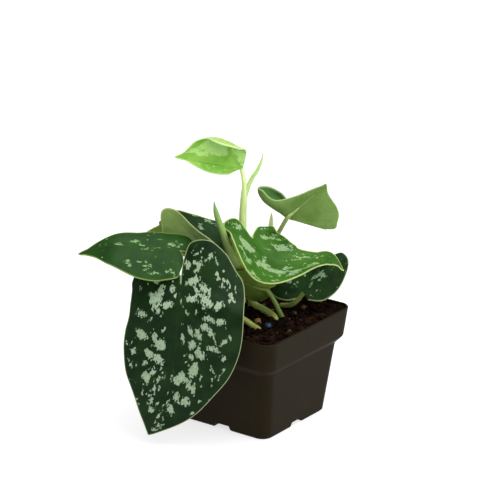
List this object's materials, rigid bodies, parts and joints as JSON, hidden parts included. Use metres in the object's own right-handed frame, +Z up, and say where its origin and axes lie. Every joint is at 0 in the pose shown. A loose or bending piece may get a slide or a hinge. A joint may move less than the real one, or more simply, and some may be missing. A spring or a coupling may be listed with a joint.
{
  "type": "potted satin pothos",
  "caption": "Young variegated vine in a square tapered nursery pot: heart-shaped satin leaves with silver blotches, pale rolled shoots, and peat just under the rim.",
  "frame": {"origin": "middle of the pot's flat underside, on the surface that it stands on", "axes": "+Z up; the pot's straight sides face X and Y; the plant faces the pot's front corner between +X and -Y, from which the picture was taken"},
  "size_m": [0.1459, 0.1524, 0.1966],
  "materials": {
    "black_moulded_plastic": "satin moulded polypropylene with fine scuffs",
    "dark_peat": "rough damp peat with bark crumbs",
    "blue_coated_fertiliser": "resin-coated bead",
    "dry_cut_stem": "dry, fibrous",
    "leaf_front_green": "satin leaf, silver blotches",
    "leaf_left_green": "satin leaf, few silver flecks",
    "leaf_back_left_green": "satin leaf, olive underside",
    "leaf_back_low_green": "olive leaf",
    "leaf_right_green": "bright leaf, silver streaks, pale margin",
    "leaf_under_green": "olive leaf underside",
    "leaf_right_low_green": "very dark leaf, few flecks",
    "leaf_back_right_green": "grey-green leaf underside",
    "shoot_top_green": "young lime leaf on a pale stem",
    "shoot_middle_green": "pale rolled leaf and stem",
    "shoot_back_green": "pale rolled leaf"
  },
  "bodies": {
    "root": {"pot": "black_moulded_plastic", "soil": "dark_peat", "fertiliser_bead": "blue_coated_fertiliser", "stem_stub": "dry_cut_stem", "leaf_front": "leaf_front_green", "leaf_left": "leaf_left_green", "leaf_back_left": "leaf_back_left_green", "leaf_back_low": "leaf_back_low_green", "leaf_right": "leaf_right_green", "leaf_under": "leaf_under_green", "leaf_right_low": "leaf_right_low_green", "leaf_back_right": "leaf_back_right_green", "shoot_top": "shoot_top_green", "shoot_middle": "shoot_middle_green", "shoot_back": "shoot_back_green"}
  },
  "joints": []
}
